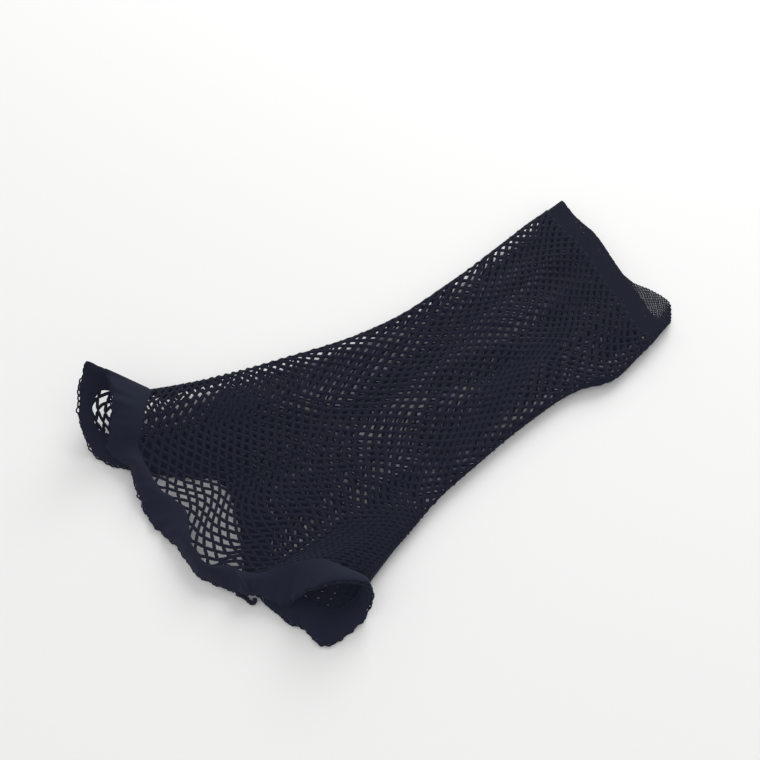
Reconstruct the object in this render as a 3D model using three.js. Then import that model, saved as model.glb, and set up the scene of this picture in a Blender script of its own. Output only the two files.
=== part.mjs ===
import * as THREE from 'three';

// Open-ended knitted net cap, lying flattened on a table.
// X runs from the flared mouth to the small end, Y across, Z up. The table is at z = 0.

// Driving sizes, in millimetres
const CAP_LENGTH = 220;     // middle of the mouth to the middle of the small end
const MOUTH_WIDTH = 165;    // across the flared mouth, corner to corner
const WAIST_WIDTH = 75;     // narrowest place of the flattened tube
const LAID_HEIGHT = 8;      // the flattened tube, table to top
const LOOP_HEIGHT = 25;     // how high the corners of the mouth stand up
const MOUTH_BAND = 18;      // knitted width of the band at the mouth
const END_BAND = 12.5;      // knitted width of the band at the small end
const MOUTH_WALL = 1.6;     // thickness of the mouth band
const END_WALL = 1.4;       // thickness of the end band
const NET_WALL = 1.2;       // thickness of the net
const SEAM_GAP = 0.3;       // clear gap between neighbouring pieces
const TAIL_LENGTH = 10;     // yarn end that hangs from the mouth band
const TAIL_THICKNESS = 1.3;

// The net: one gap of the solid stands for a patch of the real, finer mesh
const GAPS_AROUND = 8;
const KNOT_ROWS = 14;       // spaces between the rows of knots
const STRAND_SHARE = 0.27;  // strand width over the side of a diamond
const CORNER_SHARE = 0.12;  // rounding of the corners of a gap
const STRAND_STEPS = 3;
const EDGE_STEPS = 8;       // steps along the border over one gap
const NET_BORDER = 3;       // closed border of the net beside each band
const MOUTH_STEPS = 3;
const END_STEPS = 1;

// Where the loft from the mouth has become the plain flattened tube
const PLAIN_AT_SHARE = 0.3;    // of CAP_LENGTH
const PLAIN_NET_SHARE = 0.27;  // of the net's own length, used up by then
const BOW_SHARE = 0.25;        // how far a pushed-together band bows up, per millimetre lost

// Round the mouth, from the left fold over the upper layer to the right fold and back underneath.
// The place around is a share of the whole round. Along is a share of CAP_LENGTH,
// across of MOUTH_WIDTH and up of LOOP_HEIGHT.
// around, seam along, across, up, free edge along, across, up
const RUFFLES = [
  [0.000,  0.024,  0.338, 0.36, -0.034,  0.395, 0.94], // left fold, lifted
  [0.040, -0.002,  0.281, 0.48, -0.046,  0.327, 0.82], // near wall of the left loop
  [0.080, -0.031,  0.234, 0.38, -0.079,  0.273, 0.50],
  [0.115, -0.050,  0.206, 0.28, -0.102,  0.248, 0.22], // foot of the left loop
  [0.148, -0.055,  0.149, 0.24, -0.085,  0.180, 0.18], // crease beside the loop
  [0.180, -0.056,  0.080, 0.25, -0.094,  0.120, 0.14],
  [0.220, -0.040, -0.007, 0.30, -0.101,  0.032, 0.07], // upper layer lies on the table
  [0.260, -0.061, -0.089, 0.34, -0.086, -0.068, 0.07],
  [0.300, -0.057, -0.154, 0.30, -0.081, -0.153, 0.07],
  [0.335, -0.028, -0.181, 0.26, -0.052, -0.220, 0.09],
  [0.360, -0.013, -0.214, 0.26, -0.033, -0.256, 0.17], // small tuck
  [0.390,  0.008, -0.242, 0.34, -0.012, -0.282, 0.17],
  [0.420,  0.053, -0.268, 0.48,  0.008, -0.326, 0.20],
  [0.450,  0.099, -0.301, 0.52,  0.047, -0.344, 0.50], // lid of the right loop
  [0.475,  0.127, -0.352, 0.44,  0.097, -0.378, 0.70],
  [0.500,  0.144, -0.384, 0.25,  0.138, -0.419, 0.52], // right fold
  [0.527,  0.119, -0.399, 0.00,  0.115, -0.438, 0.08],
  [0.552,  0.084, -0.400, 0.00,  0.071, -0.447, 0.00], // flap on the table
  [0.575,  0.066, -0.377, 0.00,  0.030, -0.443, 0.00],
  [0.605,  0.043, -0.331, 0.00,  0.022, -0.388, 0.00],
  [0.630,  0.030, -0.284, 0.00,  0.004, -0.352, 0.00],
  [0.675,  0.040, -0.197, 0.00, -0.013, -0.228, 0.00],
  [0.725,  0.074, -0.114, 0.00,  0.028, -0.093, 0.00], // drawn back under the net
  [0.810,  0.091,  0.068, 0.00,  0.041,  0.037, 0.00],
  [0.880,  0.022,  0.169, 0.00, -0.029,  0.117, 0.00],
  [0.930, -0.070,  0.270, 0.00, -0.117,  0.262, 0.00], // under the left loop
  [0.962, -0.068,  0.352, 0.24, -0.105,  0.372, 0.46], // far wall of the left loop
  [0.984, -0.020,  0.362, 0.26, -0.060,  0.430, 0.94], // its tip
];

// The flattened tube. Along is a share of CAP_LENGTH, the others of WAIST_WIDTH.
// along, half width, middle line across
const SECTIONS = [
  [0.00, 0.790, -0.120],
  [0.10, 0.765, -0.110],
  [0.19, 0.710, -0.110],
  [0.27, 0.645, -0.103],
  [0.34, 0.590, -0.105],
  [0.42, 0.550, -0.112],
  [0.53, 0.520, -0.108], // waist
  [0.65, 0.538, -0.095],
  [0.77, 0.582, -0.095], // small bulge
  [0.84, 0.582, -0.065],
  [0.90, 0.580, -0.036],
  [0.96, 0.568, -0.008],
  [1.03, 0.560,  0.025],
];

// How far the free edge of the small end reaches, in the same order round.
// around, along as a share of CAP_LENGTH
const END_EDGE = [
  [0.00, 1.018], // left fold
  [0.09, 1.002],
  [0.17, 1.000], // kink of the upper layer
  [0.29, 0.971],
  [0.39, 0.950],
  [0.44, 0.938],
  [0.48, 0.948],
  [0.50, 0.962], // right fold
  [0.53, 0.990],
  [0.56, 1.014], // lower layer, reaching out further
  [0.62, 1.007],
  [0.67, 0.992],
  [0.81, 0.996],
  [0.95, 1.020],
];

// The yarn end: where it leaves the free edge of the mouth band, as a share of the round, and its
// curl from there in shares of TAIL_LENGTH
// along, across, up
const TAIL_AT_SHARE = 0.347;
const TAIL_CURL = [
  [0.02, -0.22, 0.08],
  [0.06, -0.42, 0.00],
  [0.18, -0.66, 0.00],
  [0.38, -0.76, 0.02],
  [0.54, -0.66, 0.08],
  [0.50, -0.50, 0.15],
];

const NET_LENGTH = CAP_LENGTH * 0.92;
const KNOT_SPACING = 1 / (2 * GAPS_AROUND);
const ROW_SPACING = (NET_LENGTH - 2 * NET_BORDER) / KNOT_ROWS;
const SLOPE_STEP = 1.2;     // span over which the slope of the cloth is read
const HALF_SHARE = 0.5;     // of the round, from fold to fold

const mix = (a, b, t) => a + (b - a) * t;
const wrap = (u) => u - Math.floor(u);

// A smooth curve through the rows of a table, read at a place between them
function readTable(rows, at, closed) {
  const count = rows.length;
  const key = closed ? wrap(at) : Math.min(Math.max(at, rows[0][0]), rows[count - 1][0]);
  let i = rows.findIndex((row) => row[0] > key) - 1;
  if (i < 0) i = closed ? count - 1 : count - 2;
  const row = (n) => {
    if (!closed) return rows[Math.min(Math.max(n, 0), count - 1)];
    const turn = Math.floor(n / count);
    const found = rows[n - turn * count];
    return [found[0] + turn, ...found.slice(1)];
  };
  const [before, a, b, after] = [row(i - 1), row(i), row(i + 1), row(i + 2)];
  const span = b[0] - a[0];
  const t = (key - a[0]) / span;
  return a.slice(1).map((value, c) => {
    const k = c + 1;
    const slopeA = (b[k] - before[k]) / (b[0] - before[0]) * span;
    const slopeB = (after[k] - a[k]) / (after[0] - a[0]) * span;
    const rise = b[k] - value;
    return value + slopeA * t + (3 * rise - 2 * slopeA - slopeB) * t * t
      + (slopeA + slopeB - 2 * rise) * t * t * t;
  });
}

function mouthEdges(u) {
  const [ax, ay, az, bx, by, bz] = readTable(RUFFLES, u, true);
  const seam = new THREE.Vector3(ax * CAP_LENGTH, ay * MOUTH_WIDTH, Math.max(az, 0) * LOOP_HEIGHT);
  const free = new THREE.Vector3(bx * CAP_LENGTH, by * MOUTH_WIDTH, Math.max(bz, 0) * LOOP_HEIGHT);
  return { seam, free };
}

function endReach(u) {
  return readTable(END_EDGE, u, true)[0] * CAP_LENGTH;
}

// The flattened tube in section: two straight layers joined by round folds, measured by length
function laidSection(u, x) {
  const [halfShare, middleShare] = readTable(SECTIONS, x / CAP_LENGTH, false);
  const r = LAID_HEIGHT / 2;
  const flat = 2 * (halfShare * WAIST_WIDTH - r);
  const fold = Math.PI * r;
  const middle = middleShare * WAIST_WIDTH;
  let d = wrap(u) * (2 * flat + 2 * fold) + fold / 2;
  if (d > 2 * flat + 2 * fold) d -= 2 * flat + 2 * fold;
  const onFold = (side, turn) => new THREE.Vector3(
    x, middle + side * (flat / 2 + r * Math.sin(turn)), r - side * r * Math.cos(turn));
  if (d < fold) return onFold(1, d / r);
  if (d < fold + flat) return new THREE.Vector3(x, middle + flat / 2 - (d - fold), 2 * r);
  if (d < 2 * fold + flat) return onFold(-1, (d - fold - flat) / r);
  return new THREE.Vector3(x, middle - flat / 2 + (d - 2 * fold - flat), 0);
}

// The outer face of the whole cap. u goes once round; q is the knitted length from the mouth seam,
// negative over the mouth band and past NET_LENGTH over the end band.
function skin(u, q) {
  const plainStart = PLAIN_AT_SHARE * CAP_LENGTH;
  if (q < 0) {
    const { seam, free } = mouthEdges(u);
    const t = -q / MOUTH_BAND;
    const lost = Math.max(MOUTH_BAND - seam.distanceTo(free), 0);
    const point = seam.lerp(free, t);
    point.z += BOW_SHARE * lost * 4 * t * (1 - t);
    return point;
  }
  if (q < PLAIN_NET_SHARE * NET_LENGTH) {
    const { seam } = mouthEdges(u);
    const t = q / (PLAIN_NET_SHARE * NET_LENGTH);
    const pull = laidSection(u, mix(seam.x, plainStart, 0.5));
    const plain = laidSection(u, plainStart);
    const point = seam.multiplyScalar((1 - t) ** 2).addScaledVector(pull, 2 * t * (1 - t));
    return point.addScaledVector(plain, t * t);
  }
  const endSeam = endReach(u) - END_BAND;
  if (q < NET_LENGTH) {
    const t = (q / NET_LENGTH - PLAIN_NET_SHARE) / (1 - PLAIN_NET_SHARE);
    return laidSection(u, mix(plainStart, endSeam, t));
  }
  return laidSection(u, endSeam + q - NET_LENGTH);
}

function skinNormal(u, q) {
  const du = SLOPE_STEP / (2 * MOUTH_WIDTH);
  const low = Math.max(q - SLOPE_STEP, -MOUTH_BAND);
  const high = Math.min(q + SLOPE_STEP, NET_LENGTH + END_BAND);
  const round = skin(u + du, q).sub(skin(u - du, q));
  const along = skin(u, high).sub(skin(u, low));
  return round.cross(along).normalize();
}

// How far along the cloth a band starts from its seam, for the same clear gap where the seam slants
function gapAlong(u, q) {
  const step = SLOPE_STEP / (2 * MOUTH_WIDTH);
  const seam = skin(u + step, q).sub(skin(u - step, q)).normalize();
  const along = skin(u, q + SLOPE_STEP).sub(skin(u, q - SLOPE_STEP)).normalize();
  return SEAM_GAP / seam.cross(along).length();
}

// A cloth wall from faces drawn on the skin: outer face, inner face and every open edge closed
function clothWall(name, faces, wall, material) {
  const seen = new Map();
  const positions = [];
  const places = [];
  const indexOf = ([u, q]) => {
    const key = `${Math.round(wrap(u + 1e-7) * 1e5)},${Math.round(q * 1e3)}`;
    if (!seen.has(key)) {
      const outer = skin(u, q);
      const inner = outer.clone().addScaledVector(skinNormal(u, q), -wall);
      seen.set(key, places.length);
      places.push(u);
      positions.push(outer.x, outer.y, outer.z, inner.x, inner.y, Math.max(inner.z, 0));
    }
    return seen.get(key);
  };
  const loops = faces.map((face) => face.map(indexOf));
  const edges = new Set();
  for (const loop of loops) {
    loop.forEach((a, i) => edges.add(`${a},${loop[(i + 1) % loop.length]}`));
  }
  const index = [];
  for (const loop of loops) {
    for (let i = 1; i + 1 < loop.length; i++) {
      const [a, b, c] = [loop[0], loop[i], loop[i + 1]];
      index.push(2 * a, 2 * b, 2 * c, 2 * a + 1, 2 * c + 1, 2 * b + 1);
    }
    loop.forEach((a, i) => {
      const b = loop[(i + 1) % loop.length];
      if (edges.has(`${b},${a}`)) return;
      const onward = wrap(places[b] - places[a]) < HALF_SHARE;
      if (onward) index.push(2 * b, 2 * a, 2 * b + 1, 2 * a, 2 * a + 1, 2 * b + 1);
      else index.push(2 * b, 2 * a, 2 * a + 1, 2 * b, 2 * a + 1, 2 * b + 1);
    });
  }
  return solid(name, positions, index, material);
}

function solid(name, positions, index, material) {
  const geometry = new THREE.BufferGeometry();
  geometry.setAttribute('position', new THREE.Float32BufferAttribute(positions, 3));
  geometry.setIndex(index);
  geometry.computeVertexNormals();
  const mesh = new THREE.Mesh(geometry, material);
  mesh.name = name;
  return mesh;
}

// Places of the diamond net, in knot spacings (a, around) and row spacings (b, along)
const GAP_REACH = 1 - STRAND_SHARE;
const KNOT_REACH = STRAND_SHARE + CORNER_SHARE;
const FOLD_SHARE = 0.5;     // strands, not knots, cross the folds
const roundOf = (a) => (a + FOLD_SHARE) * KNOT_SPACING;
const onNet = (a, b) => [roundOf(a), NET_BORDER + b * ROW_SPACING];
const inUpper = (k) => wrap(roundOf(k)) < HALF_SHARE;

// Places along the border over one knot and one gap
function borderPlaces() {
  const places = [-KNOT_REACH, 0];
  for (let i = 0; i < EDGE_STEPS; i++) {
    places.push(mix(KNOT_REACH, 2 - KNOT_REACH, i / EDGE_STEPS));
  }
  return places;
}

// All places round a border, as shares of the round, with both folds among them
function borderRound(knotRow) {
  const round = [0, HALF_SHARE];
  for (let n = 0; n < GAPS_AROUND; n++) {
    for (const a of borderPlaces()) round.push(wrap(roundOf(2 * n + (knotRow % 2) + a)));
  }
  round.sort((a, b) => a - b);
  return [...round, 1];
}

// The same for one layer of the net, which stops a little short of each fold
function layerRound(knotRow, q, upper) {
  const fold = upper ? 0 : HALF_SHARE;
  const short = (u, side) => {
    const step = side * SLOPE_STEP / (2 * MOUTH_WIDTH);
    return u + step * SEAM_GAP / (2 * skin(u, q).distanceTo(skin(u + step, q)));
  };
  const [first, last] = [short(fold, 1), short(fold + HALF_SHARE, -1)];
  return [first, ...borderRound(knotRow).filter((u) => u > first && u < last), last];
}

// Faces between two lengths q over the given places around
function ringFaces(round, low, high, steps) {
  const faces = [];
  const place = (u, t) => [u, mix(low(u), high(u), t)];
  for (let s = 0; s < steps; s++) {
    const [from, to] = [s / steps, (s + 1) / steps];
    for (let i = 1; i < round.length; i++) {
      const [a, b] = [round[i - 1], round[i]];
      faces.push([place(a, from), place(b, from), place(b, to), place(a, to)]);
    }
  }
  return faces;
}

function knotFaces(k, r) {
  const [g, e] = [KNOT_REACH, CORNER_SHARE];
  const corners = [[g, -e], [g, e], [e, g], [-e, g], [-g, e], [-g, -e], [-e, -g], [e, -g]];
  return corners.map((from, i) => {
    const to = corners[(i + 1) % corners.length];
    return [onNet(k, r), onNet(k + from[0], r + from[1]), onNet(k + to[0], r + to[1])];
  });
}

// Half a knot that stands on the border; side is 1 at the mouth and -1 at the small end
function halfKnotFaces(k, r, side) {
  const [g, e] = [KNOT_REACH, CORNER_SHARE];
  const corners = [[g, 0], [g, e], [e, g], [-e, g], [-g, e], [-g, 0]];
  return corners.slice(1).map((to, i) => {
    const from = corners[i];
    const face = [onNet(k, r), onNet(k + from[0], r + side * from[1]), onNet(k + to[0], r + side * to[1])];
    return side > 0 ? face : face.reverse();
  });
}

// One strand from knot (k, r) to knot (k + lean, r + 1), or the part of it between two shares
function strandFaces(k, r, lean, start, end, steps) {
  const [g, e] = [KNOT_REACH, CORNER_SHARE];
  const right = (t) => onNet(k + lean * mix(g, 1 - e, t), r + mix(e, 1 - g, t));
  const left = (t) => onNet(k + lean * mix(e, 1 - g, t), r + mix(g, 1 - e, t));
  const faces = [];
  for (let s = 0; s < steps; s++) {
    const [from, to] = [mix(start, end, s / steps), mix(start, end, (s + 1) / steps)];
    if (lean > 0) faces.push([right(from), right(to), left(to), left(from)]);
    else faces.push([right(from), left(from), left(to), right(to)]);
  }
  return faces;
}

// The part of a strand that belongs to one layer: all of it, none, or half of it up to the fold
function layerStrand(k, r, lean, upper) {
  const [here, there] = [inUpper(k) === upper, inUpper(k + lean) === upper];
  if (here && there) return strandFaces(k, r, lean, 0, 1, STRAND_STEPS);
  if (!here && !there) return [];
  const open = 1 - KNOT_REACH - CORNER_SHARE;
  const span = open * skin(...onNet(k, r)).distanceTo(skin(...onNet(k + lean, r + 1)));
  const short = HALF_SHARE - SEAM_GAP / (2 * span);
  const steps = Math.ceil(STRAND_STEPS / 2);
  if (here) return strandFaces(k, r, lean, 0, short, steps);
  return strandFaces(k, r, lean, 1 - short, 1, steps);
}

const PLAIN_YARN = { color: 0x1c1e26, metalness: 0 };

// One of the two layers that the flattened net lies in
function netLayer(name, upper) {
  const faces = [];
  for (let r = 0; r <= KNOT_ROWS; r++) {
    for (let n = 0; n < GAPS_AROUND; n++) {
      const k = 2 * n + (r % 2);
      if (inUpper(k) === upper) {
        if (r === 0) faces.push(...halfKnotFaces(k, r, 1));
        else if (r === KNOT_ROWS) faces.push(...halfKnotFaces(k, r, -1));
        else faces.push(...knotFaces(k, r));
      }
      if (r === KNOT_ROWS) continue;
      faces.push(...layerStrand(k, r, 1, upper), ...layerStrand(k, r, -1, upper));
    }
  }
  faces.push(...ringFaces(layerRound(0, 0, upper), () => 0, () => NET_BORDER, 1));
  const farRow = NET_BORDER + KNOT_ROWS * ROW_SPACING;
  const farRound = layerRound(KNOT_ROWS, NET_LENGTH, upper);
  faces.push(...ringFaces(farRound, () => farRow, () => NET_LENGTH, 1));
  const material = new THREE.MeshStandardMaterial({ ...PLAIN_YARN, roughness: 0.9 });
  return clothWall(name, faces, NET_WALL, material);
}

function mouthBand() {
  const seamEdge = (u) => {
    const { seam, free } = mouthEdges(u);
    return -gapAlong(u, 0) * MOUTH_BAND / seam.distanceTo(free);
  };
  const faces = ringFaces(borderRound(0), () => -MOUTH_BAND, seamEdge, MOUTH_STEPS);
  const material = new THREE.MeshStandardMaterial({ ...PLAIN_YARN, roughness: 0.82 });
  return clothWall('mouth_band', faces, MOUTH_WALL, material);
}

function endBand() {
  const seamEdge = (u) => NET_LENGTH + gapAlong(u, NET_LENGTH);
  const faces = ringFaces(borderRound(KNOT_ROWS), seamEdge, () => NET_LENGTH + END_BAND, END_STEPS);
  const material = new THREE.MeshStandardMaterial({ ...PLAIN_YARN, roughness: 0.86 });
  return clothWall('end_band', faces, END_WALL, material);
}

function threadTail() {
  const radius = TAIL_THICKNESS / 2;
  const sides = 6;
  const edge = skin(TAIL_AT_SHARE, -MOUTH_BAND);
  const onward = edge.clone().sub(skin(TAIL_AT_SHARE, SLOPE_STEP - MOUTH_BAND)).normalize();
  const start = edge.clone().addScaledVector(skinNormal(TAIL_AT_SHARE, -MOUTH_BAND), -MOUTH_WALL / 2);
  start.addScaledVector(onward, SEAM_GAP);
  const route = [start, start.clone().addScaledVector(onward, radius)];
  const table = new THREE.Vector3(edge.x, edge.y, radius);
  for (const row of TAIL_CURL) {
    route.push(new THREE.Vector3(...row).multiplyScalar(TAIL_LENGTH).add(table));
  }
  const curve = new THREE.CatmullRomCurve3(route);
  const steps = 10;
  const positions = [];
  const index = [];
  const up = new THREE.Vector3(0, 0, 1);
  for (let s = 0; s <= steps; s++) {
    const centre = curve.getPoint(s / steps);
    const ahead = curve.getTangent(s / steps);
    const side = new THREE.Vector3().crossVectors(up, ahead).normalize();
    const over = new THREE.Vector3().crossVectors(ahead, side);
    for (let n = 0; n < sides; n++) {
      const turn = 2 * Math.PI * n / sides;
      const point = centre.clone().addScaledVector(side, radius * Math.cos(turn));
      point.addScaledVector(over, radius * Math.sin(turn));
      positions.push(point.x, point.y, point.z);
      if (s === steps) continue;
      const a = s * sides + n;
      const b = s * sides + (n + 1) % sides;
      index.push(a, b, b + sides, a, b + sides, a + sides);
    }
  }
  for (let n = 1; n + 1 < sides; n++) {
    const far = steps * sides;
    index.push(0, n + 1, n, far, far + n, far + n + 1);
  }
  const material = new THREE.MeshStandardMaterial({ ...PLAIN_YARN, roughness: 0.92 });
  return solid('thread_tail', positions, index, material);
}

const wigCap = new THREE.Group();
wigCap.name = 'wig_cap';
wigCap.add(netLayer('net_upper', true), netLayer('net_lower', false));
wigCap.add(mouthBand(), endBand(), threadTail());

// The frame stands on the table under the middle of the whole
const reach = new THREE.Box3().setFromObject(wigCap, true).getCenter(new THREE.Vector3());
wigCap.position.set(-reach.x, -reach.y, 0);

export default wigCap;
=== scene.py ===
"""Wig cap: an open-ended knitted net tube that lies flattened on a table, in two layers.

Lengths are in millimetres inside the shape functions and metres in the meshes. Every shape starts
from skin(u, q), the outer face of the whole cap: u goes once round it, from the left fold over the
upper layer to the right fold and back underneath, and q is the knitted length from the mouth seam.
"""
import math

import bpy
import numpy as np
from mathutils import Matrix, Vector


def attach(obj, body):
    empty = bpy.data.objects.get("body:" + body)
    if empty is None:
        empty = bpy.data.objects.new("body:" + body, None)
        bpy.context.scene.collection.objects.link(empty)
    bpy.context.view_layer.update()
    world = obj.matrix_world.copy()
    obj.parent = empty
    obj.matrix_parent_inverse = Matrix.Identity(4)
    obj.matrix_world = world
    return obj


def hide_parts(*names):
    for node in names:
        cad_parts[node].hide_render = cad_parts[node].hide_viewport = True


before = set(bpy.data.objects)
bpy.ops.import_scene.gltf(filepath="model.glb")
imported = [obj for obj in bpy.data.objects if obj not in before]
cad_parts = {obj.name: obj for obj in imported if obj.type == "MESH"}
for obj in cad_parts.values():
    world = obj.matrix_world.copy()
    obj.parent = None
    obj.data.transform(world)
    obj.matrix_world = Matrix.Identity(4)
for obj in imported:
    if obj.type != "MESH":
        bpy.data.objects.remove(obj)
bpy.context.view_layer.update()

bl_info = {
    "name": "Net wig cap",
    "version": (1, 0, 0),
    "blender": (4, 5, 0),
    "location": "View3D > Sidebar > Wig cap",
    "description": "Builds a knitted net cap with a ruffled mouth band, lying flat",
    "category": "Add Mesh",
}

MM = 0.001
BODY = "root"

# The tube, in millimetres
CAP_LENGTH = 220.0      # between the middles of the two ends
MOUTH_WIDTH = 165.0     # across the flared mouth
WAIST_WIDTH = 75.0      # the narrowest place of the flattened tube
LAID_HEIGHT = 8.0       # the flattened tube, table to top
LOOP_HEIGHT = 25.0      # how high the corners of the mouth stand up
MOUTH_BAND = 18.0       # knitted width of the band at the mouth
END_BAND = 12.5         # knitted width of the band at the small end
MOUTH_WALL = 1.6
END_WALL = 1.4
NET_WALL = 1.2
NET_LENGTH = CAP_LENGTH * 0.92
PLAIN_AT_SHARE = 0.3    # of CAP_LENGTH: where the flare of the mouth has run out
PLAIN_NET_SHARE = 0.27  # of NET_LENGTH: the net used up by then
BOW_SHARE = 0.25        # rise of the mouth band's bow over the length that it has to spare
SLOPE_STEP = 1.2        # over which slopes of the outer face are measured
EDGE_LENGTH = 394.0     # once round the free edge of the mouth

# Round the mouth: around, seam along, across, up, free edge along, across, up, as shares of the
# whole round, CAP_LENGTH, MOUTH_WIDTH and LOOP_HEIGHT
RUFFLES = [
    (0.000, 0.024, 0.338, 0.36, -0.034, 0.395, 0.94),
    (0.040, -0.002, 0.281, 0.48, -0.046, 0.327, 0.82),
    (0.080, -0.031, 0.234, 0.38, -0.079, 0.273, 0.50),
    (0.115, -0.050, 0.206, 0.28, -0.102, 0.248, 0.22),
    (0.148, -0.055, 0.149, 0.24, -0.085, 0.180, 0.18),
    (0.180, -0.056, 0.080, 0.25, -0.094, 0.120, 0.14),
    (0.220, -0.040, -0.007, 0.30, -0.101, 0.032, 0.07),
    (0.260, -0.061, -0.089, 0.34, -0.086, -0.068, 0.07),
    (0.300, -0.057, -0.154, 0.30, -0.081, -0.153, 0.07),
    (0.335, -0.028, -0.181, 0.26, -0.052, -0.220, 0.09),
    (0.360, -0.013, -0.214, 0.26, -0.033, -0.256, 0.17),
    (0.390, 0.008, -0.242, 0.34, -0.012, -0.282, 0.17),
    (0.420, 0.053, -0.268, 0.48, 0.008, -0.326, 0.20),
    (0.450, 0.099, -0.301, 0.52, 0.047, -0.344, 0.50),
    (0.475, 0.127, -0.352, 0.44, 0.097, -0.378, 0.70),
    (0.500, 0.144, -0.384, 0.25, 0.138, -0.419, 0.52),
    (0.527, 0.119, -0.399, 0.00, 0.115, -0.438, 0.08),
    (0.552, 0.084, -0.400, 0.00, 0.071, -0.447, 0.00),
    (0.575, 0.066, -0.377, 0.00, 0.030, -0.443, 0.00),
    (0.605, 0.043, -0.331, 0.00, 0.022, -0.388, 0.00),
    (0.630, 0.030, -0.284, 0.00, 0.004, -0.352, 0.00),
    (0.675, 0.040, -0.197, 0.00, -0.013, -0.228, 0.00),
    (0.725, 0.074, -0.114, 0.00, 0.028, -0.093, 0.00),
    (0.810, 0.091, 0.068, 0.00, 0.041, 0.037, 0.00),
    (0.880, 0.022, 0.169, 0.00, -0.029, 0.117, 0.00),
    (0.930, -0.070, 0.270, 0.00, -0.117, 0.262, 0.00),
    (0.962, -0.068, 0.352, 0.24, -0.105, 0.372, 0.46),
    (0.984, -0.020, 0.362, 0.26, -0.060, 0.430, 0.94),
]

# The flattened tube: along as a share of CAP_LENGTH, half width and middle line of WAIST_WIDTH
SECTIONS = [
    (0.00, 0.790, -0.120),
    (0.10, 0.765, -0.110),
    (0.19, 0.710, -0.110),
    (0.27, 0.645, -0.103),
    (0.34, 0.590, -0.105),
    (0.42, 0.550, -0.112),
    (0.53, 0.520, -0.108),
    (0.65, 0.538, -0.095),
    (0.77, 0.582, -0.095),
    (0.84, 0.582, -0.065),
    (0.90, 0.580, -0.036),
    (0.96, 0.568, -0.008),
    (1.03, 0.560, 0.025),
]

# Free edge of the small end: around, along as a share of CAP_LENGTH
END_EDGE = [
    (0.00, 1.018),
    (0.09, 1.002),
    (0.17, 1.000),
    (0.29, 0.971),
    (0.39, 0.950),
    (0.44, 0.938),
    (0.48, 0.948),
    (0.50, 0.962),
    (0.53, 0.990),
    (0.56, 1.014),
    (0.62, 1.007),
    (0.67, 0.992),
    (0.81, 0.996),
    (0.95, 1.020),
]

# Loops along the mouth's edge, in millimetres. LOOSE_LOOPS are the places where they hang loose and
# LOOSE_RUN is how far that runs, as shares of the edge.
LOOP_YARN_RADIUS = 0.33
LOOP_SIZES = (0.9, 1.4)
LOOSE_SIZES = (0.1, 0.55)
LOOP_ROOT = 0.9         # how far inside the band's edge a loop starts
LOOP_NECK_SHARE = 0.36  # of the pitch: how far a loop's two legs swing together
LOOP_TWIST = 0.35
LOOP_STEPS = 14
LOOSE_LOOPS = (0.142, 0.933)
LOOSE_RUN = 0.011

# The yarn end from the band's free edge: along, across, up, as shares of TAIL_LENGTH. It is
# twisted of plies, whose turn is counted in rows of the route.
TAIL_LENGTH = 10.0
TAIL_THICKNESS = 1.3
TAIL_AT_SHARE = 0.347
PLIES = 3
PLY_RADIUS = 0.45
PLY_AWAY = 0.40
PLY_TURN = 2.2
TAIL_CURL = [
    (0.10, -0.08, 0.08),
    (0.20, -0.22, 0.00),
    (0.24, -0.39, 0.00),
    (0.29, -0.55, 0.02),
    (0.39, -0.60, 0.08),
    (0.46, -0.52, 0.15),
]

# How long one diamond of the net is, from the mouth to the small end: along as a share, millimetres
DIAMOND_LENGTH = [(0.0, 3.5), (0.2, 4.0), (0.45, 6.0), (0.7, 5.8), (1.0, 4.7)]
# How wide the strands lie along each layer, over the strand's own width: share of the net, factor
UPPER_FILL = [(0.0, 1.12), (0.075, 1.15), (0.13, 1.62), (0.3, 1.7), (0.85, 1.72), (1.0, 1.88)]
LOWER_FILL = [(0.0, 1.0), (0.12, 0.86), (0.35, 0.9), (0.8, 0.98), (1.0, 1.1)]
# Places where they lie wider or thinner than that: round, half width round, millimetres, factor
FILL_PATCHES = [(0.965, 0.03, 12.0, 1.2), (0.56, 0.08, 26.0, 2.1), (0.01, 0.05, 380.0, 0.9),
                (0.105, 0.06, 36.0, 1.35), (0.48, 0.06, 380.0, 0.85), (0.02, 0.06, 30.0, 1.3)]
# The end band has close ribs, and is drawn out to a fine net where its lower layer sticks out:
# round, half width round, then widths and swings of the fine strands as ribs and as a net. The rim
# is closed by wider strands, from some millimetres before it and within fewer.
END_TAB = (0.588, 0.1)
END_FILL, END_TAB_FILL, END_RIM_FILL = 1.6, 0.9, 1.75
END_SWING, END_TAB_SWING = 0.12, 1.0
RIM_FROM, RIM_WITHIN = 1.6, 0.8

# Where the seam of the mouth band is drawn up towards its free edge: round, half width, millimetres
SEAM_DRAWN = (0.962, 0.026, 8.5)
# The point that the free edge of the mouth comes out to: round, half width, millimetres
CORNER_POINT = (0.988, 0.008, 1.1)
# The lower layer runs on under the band to reach the drawn seam: rows, millimetres
ROWS_UNDER_BAND, NET_UNDER_BAND = 4, 10.0
# Where a fold of the tube is drawn in: round, half width round, millimetres from the mouth, how far
# it runs out towards the mouth and towards the small end, and how deep it is
FOLD_DRAWN = (0.5, 0.2, 153.0, 30.0, 9.0, 2.8)
# The tuck in the mouth band: round at the seam, further round at the free edge, then in millimetres
# its height and how far it runs out on its near and its far side
TUCK = (0.343, 0.029, 1.3, 4.0, 0.7)
# Waves of the mouth band, all sines of the place round: height, count and start of each, the height
# and count of the drift of the first, then the creases' height, count and lean
RUFFLE_WAVES = [(1.0, 41, 0.0), (0.6, 67, 1.0)]
RUFFLE_DRIFT = (2.0, 5)
CREASES = (0.5, 17, 3.0)
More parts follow.
